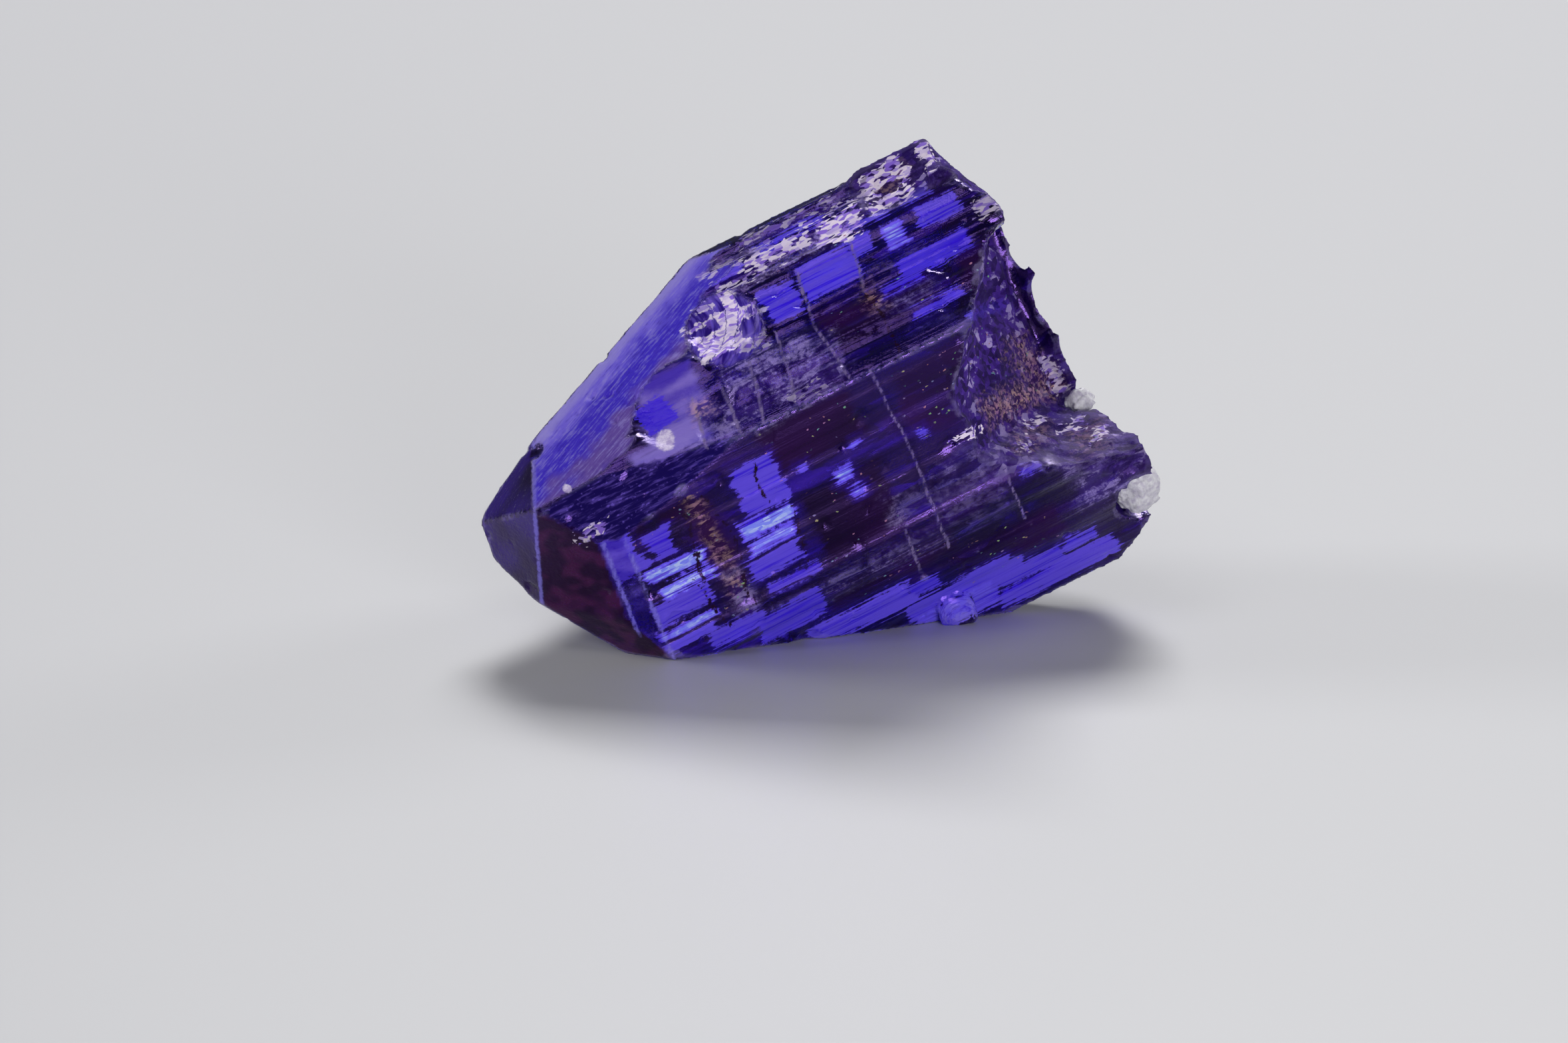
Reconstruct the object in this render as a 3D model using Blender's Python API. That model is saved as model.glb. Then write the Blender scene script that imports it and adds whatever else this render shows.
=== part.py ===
"""Rough tanzanite: one violet-blue crystal, broken at its right end, standing on a flat spot.

Two small lumps of white matrix are grown on the broken end. Lengths are in millimetres in the
crystal's own directions (along, across, front) until place() turns them into metres.
"""
import math

import bmesh
import bpy
from mathutils import Vector, noise

MM = 0.001

# How the crystal lies: its long axis climbs to the right and turns a little away from the front
AXIS_RISE = math.radians(24.4)
AXIS_TURN = math.radians(11.3)
RIDGE_MIDDLE = Vector((2.0, 0.3, 13.2))

ALONG = Vector((
    math.cos(AXIS_RISE) * math.cos(AXIS_TURN),
    math.cos(AXIS_RISE) * math.sin(AXIS_TURN),
    math.sin(AXIS_RISE),
))
FRONT = Vector((math.sin(AXIS_TURN), -math.cos(AXIS_TURN), 0.0))
ACROSS = FRONT.cross(ALONG)

# Cross-section of the prism: edge name, (across, front), and the growth ledges of the face that
# follows it, each as (fraction of the face, how far that terrace lies below the face)
SECTION = (
    ("ridge", (0.0, 0.0), (
        (0.13, 0.08), (0.27, 0.0), (0.40, 0.12), (0.55, 0.22), (0.66, 0.05), (0.90, 0.14))),
    ("window edge", (3.6, -6.3), ((0.20, 0.20), (0.38, 0.04), (0.60, 0.26), (0.82, 0.10))),
    ("top rim", (5.35, -9.8), ((0.30, 0.20), (0.65, 0.05))),
    ("back shoulder", (1.2, -14.6), ((0.15, 0.18), (0.38, 0.0), (0.55, 0.28), (0.82, 0.08))),
    ("back foot", (-8.0, -16.0), ((0.25, 0.2), (0.6, 0.0))),
    ("under edge", (-14.0, -12.6), ()),
    ("keel", (-15.2, -5.5), ((0.20, 0.10), (0.42, 0.02), (0.66, 0.15), (0.85, 0.04))),
    ("front foot", (-8.5, -1.45), (
        (0.10, 0.06), (0.22, 0.0), (0.38, 0.07), (0.52, 0.02), (0.67, 0.08), (0.80, 0.01), (0.90, 0.05))),
)
PRISM_LEFT = -24.0
PRISM_RIGHT = 16.0
LEDGE_RISER = 0.12
INSIDE = Vector((-4.0, -5.0, -8.0))

# Flat faces of the ends, each through three points on it
FACETS = (
    ("frosted bevel", (-13.1, 2.5, -6.6), (-6.5, 4.43, -9.25), (-14.0, 0.6, -1.5)),
    ("sliver", (-15.85, 0.55, -2.0), (-13.85, -1.85, -0.55), (-5.8, 0.0, 0.0)),
    ("dark end face", (-15.85, 0.55, -2.0), (-13.85, -1.85, -0.55), (-17.3, -4.2, -3.8)),
    ("dark end foot", (-14.35, -5.0, -1.1), (-13.2, -8.5, -1.45), (-17.3, -4.2, -3.8)),
    ("bright chamfer", (-13.8, -1.8, -0.66), (-14.25, -8.3, -1.78), (-12.9, -1.95, -0.33)),
    ("nose front", (-15.85, 0.55, -2.0), (-17.3, -4.2, -3.8), (-18.1, -0.3, -6.0)),
    ("nose top", (-15.85, 0.55, -2.0), (-18.1, -0.3, -6.0), (-14.3, 2.17, -6.3)),
    ("nose underside", (-17.3, -4.2, -3.8), (-18.16, -3.9, -6.3), (-15.4, -6.8, -2.5)),
    ("nose back", (-18.1, -0.3, -6.0), (-18.16, -3.9, -6.3), (-9.5, -4.0, -15.7)),
    ("back left top", (-13.1, 2.5, -6.6), (-6.5, 4.43, -9.3), (-9.5, -1.0, -14.5)),
    ("peak end", (7.2, 5.4, -10.0), (8.4, 2.7, -9.0), (7.6, 4.4, -14.0)),
    ("upper end", (8.4, 2.7, -9.0), (9.4, 0.5, -8.0), (8.0, 0.5, -14.0)),
    ("lower end", (9.4, 0.5, -8.0), (9.8, -9.0, -3.5), (7.6, -4.0, -13.5)),
    ("keel end", (9.9, -13.0, -4.6), (7.3, -15.2, -5.5), (9.0, -12.6, -10.0)),
    ("under back", (-3.0, -13.2, -9.6), (3.0, -15.2, -7.4), (0.0, -9.0, -15.4)),
    ("under left", (-14.2, -7.9, -4.4), (-7.6, -10.9, -12.6), (-13.6, -5.0, -10.6)),
)
END_FACETS = ("peak end", "upper end", "lower end", "keel end")
ON_FACET = 1e-6

# The broken right end: longest splinter, farthest step back along the axis, the share of that step
# that is smooth lumps and the share that is blunt blocks, and the size of both
END_SPLINTER = 0.95
END_STEP = 0.55
END_LUMP_SHARE = 0.6
END_BLOCK_SHARE = 0.4
END_LUMP_SIZE = 2.1
END_BLOCK_SIZE = 1.26

# How often a surface is split again on the way down to its splinter size
MOST_SPLITS = 8
MOST_END_SPLITS = 6

# Pieces broken away: name, corners of the missing lump, size of its splinters, their roughness
BREAK_GRAIN = 1.1
BREAK_SEED = 2
NOISE_SHIFT = Vector((3.7, 1.9, 5.3))
NOISE_APART = (Vector((0.0, 0.0, 0.0)), Vector((19.1, 7.3, 4.7)), Vector((5.9, 23.3, 13.1)))
BREAKS = (
    ("shoulder", (
        (1.6, -5.6, 1.2), (1.9, -3.7, 1.2), (5.0, -0.4, 1.2), (7.2, 2.2, -1.8), (5.3, -8.9, 1.0),
        (9.9, -10.7, 1.2), (9.9, -8.9, -6.5), (7.7, -7.8, -8.2), (8.2, 0.4, -9.6),
        (13.0, -10.5, 0.0), (13.0, 3.0, -5.0), (11.0, 4.0, 1.0)), 0.9, 0.28),
    ("crumbled_top", (
        (3.6, 3.75, -7.4), (4.0, 4.8, -9.4), (6.3, 3.7, -7.4), (6.7, 4.8, -9.5),
        (2.8, 4.8, -6.4), (3.2, 6.2, -9.8), (7.2, 4.8, -6.4), (7.3, 6.2, -9.8)), 0.6, 0.22),
    ("rim_step", (
        (-10.0, 5.0, -8.6), (3.4, 5.0, -8.7), (-10.0, 4.9, -11.5), (3.7, 4.9, -11.5),
        (-10.0, 7.0, -8.6), (4.2, 7.0, -8.7), (-10.0, 7.0, -11.5), (4.2, 7.0, -11.5)), 2.5, 0.06),
)

# Shell-shaped and small chips: name, point on the surface, outward direction, radius, depth
CHIPS = (
    ("shell_fracture", (-4.6, 3.25, -5.7), (0.0, 0.87, 0.50), 2.6, 0.75),
    ("window_hollow", (-7.7, 1.45, -2.7), (-0.05, 0.88, 0.45), 5.0, 0.60),
    ("peak_chip", (7.7, 4.3, -9.2), (0.8, 0.5, 0.3), 1.2, 0.42),
    ("nose_notch", (-14.4, 2.0, -5.2), (-0.5, 0.8, 0.2), 1.0, 0.30),
    ("foot_nick", (-7.4, -11.1, -2.9), (0.0, -0.4, 0.9), 0.9, 0.45),
    ("end_pit_high", (8.9, -1.4, -10.0), (1.0, 0.0, 0.1), 1.6, 0.55),
    ("end_pit_low", (9.6, -6.6, -9.4), (1.0, -0.1, 0.0), 2.1, 0.60),
    ("back_shell", (-3.5, -3.0, -15.3), (0.0, 0.1, -1.0), 6.0, 0.75),
    ("back_chip", (4.6, 0.6, -14.4), (0.3, 0.5, -0.8), 2.6, 0.60),
    ("back_hollow", (2.4, -9.4, -15.2), (0.2, -0.4, -0.9), 3.2, 0.60),
)

# Chip balls wider than this are made of finer triangles
WIDE_CHIP = 4.0
CHIP_DETAIL = 3
WIDE_CHIP_DETAIL = 4

# The foot knob under the front edge and the white matrix lumps: centre, radii, seed
FOOT_KNOB = ((-0.8, -13.3, -3.5), (0.9, 0.75, 1.5), 5)
MATRIX_LUMPS = (
    ("matrix_knob", (8.75, -12.0, -4.6), (1.2, 1.25, 1.2), 3),
    ("matrix_fleck", (8.4, -8.3, -7.4), (0.65, 0.55, 0.6), 8),
)
LUMP_ROUGHNESS = 0.22
LUMP_GRAIN = 1.7
LUMP_DETAIL = 3
FIT_GAP = 0.3

VIOLET = (0.16, 0.10, 0.62)
VIOLET_ROUGHNESS = 0.12
VIOLET_CLEARNESS = 0.8
ZOISITE_IOR = 1.69
WHITE = (0.82, 0.80, 0.84)
WHITE_ROUGHNESS = 0.55


def place(along, across, front):
    """Crystal millimetres to metres in the part's upright frame."""
    return (RIDGE_MIDDLE + ALONG * along + ACROSS * across + FRONT * front) * MM


def stepped_outline():
    """The cross-section with its growth ledges, as (across, front) points in order."""
    outline = []
    for index, (_, start, ledges) in enumerate(SECTION):
        end = SECTION[(index + 1) % len(SECTION)][1]
        start = Vector(start)
        side = Vector(end) - start
        inward = Vector((side.y, -side.x)).normalized()
        if inward.dot(Vector(INSIDE.yz) - start) < 0.0:
            inward = -inward
        outline.append(start)
        depth = 0.0
        for fraction, next_depth in ledges:
            foot = start + side * fraction
            riser = side.normalized() * LEDGE_RISER
            outline.append(foot - riser * 0.5 + inward * depth)
            outline.append(foot + riser * 0.5 + inward * next_depth)
            depth = next_depth
        outline.append(Vector(end) - side.normalized() * LEDGE_RISER + inward * depth * 0.5)
    return outline


def cut(bm, point, outward):
    """Cut the solid with a plane, drop what lies outside and close the cut."""
    geometry = bm.verts[:] + bm.edges[:] + bm.faces[:]
    result = bmesh.ops.bisect_plane(
        bm, geom=geometry, plane_co=point, plane_no=outward, clear_outer=True, dist=1e-9)
    rim = [item for item in result["geom_cut"] if isinstance(item, bmesh.types.BMEdge)]
    if rim:
        bmesh.ops.holes_fill(bm, edges=rim, sides=0)


def cut_facet(bm, points):
    """Cut along the plane through three crystal points, keeping the side the middle is on."""
    first, second, third = (place(*point) for point in points)
    outward = (second - first).cross(third - first).normalized()
    if outward.dot(place(*INSIDE) - first) > 0.0:
        outward = -outward
    cut(bm, first, outward)


def make_material(name, color, roughness, transmission=0.0, ior=1.5):
    """One Principled material."""
    material = bpy.data.materials.new(name)
    material.use_nodes = True
    shader = material.node_tree.nodes["Principled BSDF"]
    shader.inputs["Base Color"].default_value = (*color, 1.0)
    shader.inputs["Roughness"].default_value = roughness
    shader.inputs["Metallic"].default_value = 0.0
    shader.inputs["Transmission Weight"].default_value = transmission
    shader.inputs["IOR"].default_value = ior
    return material


def add_object(name, bm, material=None):
    """Put a closed bmesh into the scene as a named object with its faces pointing out."""
    bmesh.ops.recalc_face_normals(bm, faces=bm.faces[:])
    if bm.calc_volume(signed=True) < 0.0:
        bmesh.ops.reverse_faces(bm, faces=bm.faces[:])
    mesh = bpy.data.meshes.new(name)
    bm.to_mesh(mesh)
    bm.free()
    thing = bpy.data.objects.new(name, mesh)
    bpy.context.scene.collection.objects.link(thing)
    if material:
        mesh.materials.append(material)
    return thing


def split_long_edges(bm, longest):
    """Break a triangulated region up until no edge is longer than the given metres."""
    bmesh.ops.triangulate(bm, faces=bm.faces[:])
    for _ in range(MOST_SPLITS):
        long_edges = [edge for edge in bm.edges if edge.calc_length() > longest]
        if not long_edges:
            break
        bmesh.ops.subdivide_edges(bm, edges=long_edges, cuts=1)
        bmesh.ops.triangulate(bm, faces=bm.faces[:])


def roughen(bm, amount, grain, seed):
    """Move every corner by smooth noise of the given amount, with lumps of the given grain."""
    for vert in bm.verts:
        spot = vert.co / (grain * MM) + NOISE_SHIFT * seed
        push = Vector(noise.noise(spot + apart) for apart in NOISE_APART)
        vert.co += push * (amount * MM)


def splinter_end(bm):
    """Break up the right end, stepping its corners along the axis so the prism sides stay flat."""
    planes = []
    for name, *points in FACETS:
        if name in END_FACETS:
            first, second, third = (place(*point) for point in points)
            planes.append((first, (second - first).cross(third - first).normalized()))

    def on_end(face):
        return any(
            all(abs((vert.co - point).dot(normal)) < ON_FACET for vert in face.verts)
            for point, normal in planes)

    bmesh.ops.triangulate(bm, faces=[face for face in bm.faces if on_end(face)])
    for _ in range(MOST_END_SPLITS):
        long_edges = [edge for edge in bm.edges if edge.calc_length() > END_SPLINTER * MM]
        long_edges = [edge for edge in long_edges if any(on_end(face) for face in edge.link_faces)]
        if not long_edges:
            break
        bmesh.ops.subdivide_edges(bm, edges=long_edges, cuts=1)
        bmesh.ops.triangulate(bm, faces=[face for face in bm.faces if on_end(face)])
    corners = {vert for face in bm.faces if on_end(face) for vert in face.verts}
    for vert in corners:
        lumps = 0.5 + noise.noise(vert.co / (END_LUMP_SIZE * MM))
        blocks = noise.cell(vert.co / (END_BLOCK_SIZE * MM))
        vert.co -= ALONG * (lumps * END_LUMP_SHARE + blocks * END_BLOCK_SHARE) * END_STEP * MM


def prism_solid():
    """The ledged prism cut by the end faces and by the ground it stands on."""
    bm = bmesh.new()
    outline = stepped_outline()
    rims = []
    for along in (PRISM_LEFT, PRISM_RIGHT):
        rims.append([bm.verts.new(place(along, point.x, point.y)) for point in outline])
    left, right = rims
    bm.faces.new(left)
    bm.faces.new(reversed(right))
    count = len(outline)
    for index in range(count):
        after = (index + 1) % count
        bm.faces.new((left[index], right[index], right[after], left[after]))
    bmesh.ops.recalc_face_normals(bm, faces=bm.faces[:])
    for _, *points in FACETS:
        cut_facet(bm, points)
    splinter_end(bm)
    cut(bm, Vector((0.0, 0.0, 0.0)), Vector((0.0, 0.0, -1.0)))
    bmesh.ops.triangulate(bm, faces=bm.faces[:])
    return bm


def crystal_axes(bm):
    """Turn a bmesh in crystal millimetres into part metres."""
    for vert in bm.verts:
        vert.co = place(*vert.co)


def broken_lump(corners, splinter, roughness):
    """The rough lump that is missing where a piece broke away."""
    bm = bmesh.new()
    for corner in corners:
        bm.verts.new(corner)
    bmesh.ops.convex_hull(bm, input=bm.verts[:])
    crystal_axes(bm)
    split_long_edges(bm, splinter * MM)
    roughen(bm, roughness, BREAK_GRAIN, BREAK_SEED)
    return bm


def chip_ball(point, outward, radius, depth):
    """A ball that bites a shallow shell-shaped hollow into the surface at a point."""
    bm = bmesh.new()
    detail = WIDE_CHIP_DETAIL if radius > WIDE_CHIP else CHIP_DETAIL
    bmesh.ops.create_icosphere(bm, subdivisions=detail, radius=radius)
    centre = Vector(point) + Vector(outward).normalized() * (radius - depth)
    for vert in bm.verts:
        vert.co += centre
    crystal_axes(bm)
    return bm


def lump(centre, radii, seed, swell=0.0):
    """A knobbly lump that stays above the ground, optionally swollen to cut the seat it sits in."""
    bm = bmesh.new()
    bmesh.ops.create_icosphere(bm, subdivisions=LUMP_DETAIL, radius=1.0)
    for vert in bm.verts:
        direction = vert.co.normalized()
        bulge = 1.0 + LUMP_ROUGHNESS * noise.noise(direction * LUMP_GRAIN + Vector((seed, 0.0, 0.0)))
        reach = Vector(radius * bulge + swell for radius in radii)
        vert.co = Vector(centre) + direction * reach
    crystal_axes(bm)
    for vert in bm.verts:
        vert.co.z = max(vert.co.z, 0.0)
    return bm


def combine(target, tool, operation):
    """Add an exact Boolean with a hidden tool shape."""
    tool.hide_render = True
    tool.display_type = "WIRE"
    modifier = target.modifiers.new(tool.name, "BOOLEAN")
    modifier.operation = operation
    modifier.solver = "EXACT"
    modifier.object = tool


def centre_on_footprint(pieces):
    """Stand the specimen on the ground plane with the middle of its box over the origin."""
    graph = bpy.context.evaluated_depsgraph_get()
    corners = []
    for piece in pieces:
        shape = piece.evaluated_get(graph)
        corners += [piece.matrix_world @ vert.co for vert in shape.data.vertices]
    lowest = Vector(min(corner[axis] for corner in corners) for axis in range(3))
    highest = Vector(max(corner[axis] for corner in corners) for axis in range(3))
    middle = (lowest + highest) * 0.5
    holder = bpy.data.objects.new("specimen", None)
    bpy.context.scene.collection.objects.link(holder)
    for thing in list(bpy.context.scene.objects):
        if thing is not holder:
            thing.parent = holder
    holder.location = (-middle.x, -middle.y, -lowest.z)


def build():
    """The whole specimen in an emptied scene."""
    for thing in list(bpy.data.objects):
        bpy.data.objects.remove(thing, do_unlink=True)
    violet = make_material("violet_crystal", VIOLET, VIOLET_ROUGHNESS, VIOLET_CLEARNESS, ZOISITE_IOR)
    white = make_material("white_matrix", WHITE, WHITE_ROUGHNESS)
    crystal = add_object("crystal", prism_solid(), violet)
    for name, corners, splinter, roughness in BREAKS:
        combine(crystal, add_object("cut_" + name, broken_lump(corners, splinter, roughness)), "DIFFERENCE")
    for name, point, outward, radius, depth in CHIPS:
        combine(crystal, add_object("cut_" + name, chip_ball(point, outward, radius, depth)), "DIFFERENCE")
    combine(crystal, add_object("foot_knob", lump(*FOOT_KNOB)), "UNION")
    pieces = [crystal]
    for name, centre, radii, seed in MATRIX_LUMPS:
        combine(crystal, add_object("seat_" + name, lump(centre, radii, seed, FIT_GAP)), "DIFFERENCE")
        pieces.append(add_object(name, lump(centre, radii, seed), white))
    centre_on_footprint(pieces)


build()
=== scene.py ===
"""Looks of the rough tanzanite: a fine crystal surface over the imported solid, its materials and light.

Places on the stone are in millimetres from the middle of the main ridge. Crystal places are
(along, across, front). Picture places are (seen_along, seen_up) in the plane that faces the front view.
"""
import math

import bmesh
import bpy
import numpy as np
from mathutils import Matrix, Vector, noise

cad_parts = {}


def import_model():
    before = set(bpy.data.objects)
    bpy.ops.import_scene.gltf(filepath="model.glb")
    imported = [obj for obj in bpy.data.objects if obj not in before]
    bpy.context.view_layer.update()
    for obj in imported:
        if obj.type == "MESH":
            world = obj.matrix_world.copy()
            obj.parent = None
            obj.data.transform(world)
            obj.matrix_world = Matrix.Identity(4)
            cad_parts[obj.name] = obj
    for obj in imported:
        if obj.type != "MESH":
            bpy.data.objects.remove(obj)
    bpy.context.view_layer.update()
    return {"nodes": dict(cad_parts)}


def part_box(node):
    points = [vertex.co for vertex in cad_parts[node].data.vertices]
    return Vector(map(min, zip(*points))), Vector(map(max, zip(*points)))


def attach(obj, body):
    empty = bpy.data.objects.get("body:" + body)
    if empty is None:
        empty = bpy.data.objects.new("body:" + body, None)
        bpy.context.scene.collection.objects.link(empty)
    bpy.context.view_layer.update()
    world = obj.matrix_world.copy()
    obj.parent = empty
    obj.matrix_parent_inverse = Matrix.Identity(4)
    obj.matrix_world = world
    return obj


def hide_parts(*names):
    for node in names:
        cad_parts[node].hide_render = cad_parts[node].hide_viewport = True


MM = 0.001

# How the crystal lies in the part's frame, and where the middle of its main ridge is
AXIS_RISE = math.radians(24.4)
AXIS_TURN = math.radians(11.3)
RIDGE_MIDDLE = np.array((2.128, -7.865, 13.2))
ALONG = np.array((
    math.cos(AXIS_RISE) * math.cos(AXIS_TURN),
    math.cos(AXIS_RISE) * math.sin(AXIS_TURN),
    math.sin(AXIS_RISE),
))
FRONT = np.array((math.sin(AXIS_TURN), -math.cos(AXIS_TURN), 0.0))
ACROSS = np.cross(FRONT, ALONG)

# The front view looks down on the stone, which leans up to the right in the picture
VIEW_DROP = math.radians(17.0)
PICTURE_LEAN = math.radians(26.5)
PICTURE_RIGHT = np.array((1.0, 0.0, 0.0))
PICTURE_UP = np.array((0.0, math.sin(VIEW_DROP), math.cos(VIEW_DROP)))
TO_VIEWER = np.array((0.0, -math.cos(VIEW_DROP), math.sin(VIEW_DROP)))
SEEN_ALONG = PICTURE_RIGHT * math.cos(PICTURE_LEAN) + PICTURE_UP * math.sin(PICTURE_LEAN)
SEEN_UP = PICTURE_UP * math.cos(PICTURE_LEAN) - PICTURE_RIGHT * math.sin(PICTURE_LEAN)

# Cosines to the viewer where the front ends and is whole, and the share of it that counts as front
FACING = (0.0, 0.25)
IN_FRONT = 0.2

# Fineness of the new surfaces
FINE_VOXEL = 0.158
LUMP_VOXEL = 0.07
SHARP_ANGLE = math.radians(32.0)

# Flat faces of the left end, each through three crystal places on it
FACETS = {
    "bevel": ((-13.1, 2.5, -6.6), (-6.5, 4.43, -9.25), (-14.0, 0.6, -1.5)),
    "sliver": ((-15.85, 0.55, -2.0), (-13.85, -1.85, -0.55), (-5.8, 0.0, 0.0)),
    "end_face": ((-15.85, 0.55, -2.0), (-13.85, -1.85, -0.55), (-17.3, -4.2, -3.8)),
    "end_foot": ((-14.35, -5.0, -1.1), (-13.2, -8.5, -1.45), (-17.3, -4.2, -3.8)),
    "chamfer": ((-13.8, -1.8, -0.66), (-14.25, -8.3, -1.78), (-12.9, -1.95, -0.33)),
    "nose_front": ((-15.85, 0.55, -2.0), (-17.3, -4.2, -3.8), (-18.1, -0.3, -6.0)),
    "nose_top": ((-15.85, 0.55, -2.0), (-18.1, -0.3, -6.0), (-14.3, 2.17, -6.3)),
    "nose_under": ((-17.3, -4.2, -3.8), (-18.16, -3.9, -6.3), (-15.4, -6.8, -2.5)),
}
# A crystal place inside the stone
INSIDE = np.array((-4.0, -5.0, -8.0))
# How far off its plane a facet ends, and the cosines to it where it ends and is whole
FACET_REACH = 0.10
FACET_TURN = (0.93, 0.97)

# Painted zones seen from the front: middle (seen_along, seen_up), half sizes and strength
# Bright blue windows: painted light glowing through the crystal
WINDOWS = (
    (-6.5, -1.95, 0.95, 0.75, 0.5),
    (-6.6, -2.95, 1.05, 0.30, 0.4),
    (-7.0, -3.8, 1.25, 0.34, 1.0),
    (-7.1, -4.65, 1.1, 0.26, 1.0),
    (-7.4, -5.5, 1.2, 0.36, 0.5),
    (-7.0, -6.5, 1.2, 0.16, 0.4),
    (-13.35, -2.4, 0.75, 0.95, 0.5),
    (-11.6, -2.6, 0.5, 0.5, 0.35),
    (-11.5, -3.85, 1.3, 0.26, 0.95),
    (-11.3, -4.7, 1.25, 0.24, 1.0),
    (-11.9, -5.45, 1.3, 0.40, 0.5),
    (-12.1, -6.35, 1.5, 0.10, 0.9),
    (-12.4, -6.95, 1.3, 0.12, 0.6),
    (-10.2, -7.5, 1.3, 0.25, 0.4),
    (-7.9, -8.1, 1.5, 0.5, 0.35),
    (-5.0, -9.5, 2.4, 0.45, 0.55),
    (-0.6, -10.3, 2.4, 0.30, 0.45),
    (2.6, -10.9, 1.6, 0.30, 0.45),
    (-2.0, -9.5, 0.6, 0.20, 0.3),
    (-1.0, -11.1, 1.8, 0.55, 0.65),
    (1.5, -10.6, 0.8, 0.30, 0.5),
    (3.6, -11.6, 2.8, 0.34, 0.5),
    (5.2, -10.8, 0.8, 0.24, 0.55),
    (-3.0, -3.45, 0.42, 0.26, 0.9),
    (-2.0, -2.6, 0.16, 0.10, 0.7),
    (-4.6, -2.5, 0.14, 0.12, 0.6),
    (0.9, -3.4, 0.25, 0.12, 0.5),
    (4.0, 1.4, 1.2, 0.12, 0.3),
    (5.8, 0.2, 0.9, 0.14, 0.3),
    (3.0, 2.9, 1.0, 0.16, 0.3),
    (-2.75, -4.4, 0.22, 0.16, 0.8),
    (-2.36, -11.4, 0.9, 0.5, 0.3),
    (-4.2, 6.75, 1.2, 0.12, 0.6),
    (-2.05, 4.5, 0.75, 0.7, 0.4),
    (0.3, 4.75, 1.2, 0.72, 0.45),
    (2.1, 5.3, 0.5, 0.35, 0.4),
    (3.75, 5.0, 0.4, 0.5, 0.8),
    (5.9, 5.1, 0.9, 0.4, 0.4),
    (4.9, 3.4, 1.6, 0.35, 0.25),
    (4.4, -6.9, 0.5, 0.18, 0.4),
    (-9.3, 2.5, 0.7, 0.6, 0.2),
    (-0.4, 7.15, 1.6, 0.10, 0.45),
    (3.0, 6.1, 0.9, 0.14, 0.6),
    (5.3, 6.3, 0.6, 0.20, 0.4),
)
# Nearly black patches of painted shade
DARKS = (
    (-12.1, -1.9, 0.35, 0.85, 1.0),
    (-10.4, -1.6, 0.9, 0.45, 1.0),
    (-3.6, -1.3, 2.3, 1.2, 1.0),
    (-3.4, -5.2, 2.0, 1.7, 1.0),
    (-9.5, -4.4, 0.7, 2.9, 0.9),
    (1.9, -2.0, 1.3, 1.6, 0.8),
    (4.5, -1.7, 1.6, 1.3, 0.9),
    (-3.0, -8.3, 3.2, 0.55, 0.8),
    (2.2, -9.4, 2.6, 0.8, 0.8),
    (1.6, 2.2, 2.6, 1.0, 0.8),
    (-1.0, 5.95, 3.4, 0.2, 0.9),
    (-4.0, 6.5, 2.0, 0.14, 0.9),
    (6.6, 1.8, 1.0, 1.5, 0.7),
)
# Milky veils
VEILS = (
    (-6.8, 1.2, 1.7, 1.1, 0.75),
    (-3.9, 1.6, 2.2, 1.4, 0.8),
    (-1.2, 1.2, 0.6, 1.1, 0.6),
    (-9.35, -6.6, 0.5, 1.6, 0.5),
    (3.6, -5.9, 3.4, 0.9, 0.6),
    (0.6, -6.6, 2.4, 1.4, 0.45),
    (-4.6, -7.6, 4.0, 0.30, 0.6),
    (-13.4, -4.3, 0.5, 0.45, 0.6),
    (7.4, -8.4, 1.6, 1.4, 0.8),
    (4.4, 0.6, 2.0, 0.35, 0.3),
    (-3.2, 7.05, 2.4, 0.40, 0.6),
    (0.2, 7.4, 2.6, 0.30, 0.9),
    (-4.6, 6.2, 1.5, 0.30, 0.9),
    (0.0, 6.5, 2.6, 0.45, 1.0),
    (6.9, 7.5, 0.8, 1.0, 0.9),
    (4.2, 7.0, 1.3, 0.8, 0.7),
    (3.2, 3.9, 1.6, 0.14, 0.6),
    (3.0, 2.2, 1.2, 0.16, 0.5),
)
# The pale hollow beside the bevel
HOLLOWS = (
    (-10.3, 0.95, 1.0, 0.60, 1.0),
    (-8.8, 1.45, 1.5, 1.05, 1.0),
    (-8.3, 2.80, 1.5, 1.50, 1.0),
)
# Round milky blobs: middle (seen_along, seen_up) and radius
BLOBS = (
    (-9.41, 1.3, 0.50),
    (-14.2, 1.35, 0.25),
)
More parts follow.
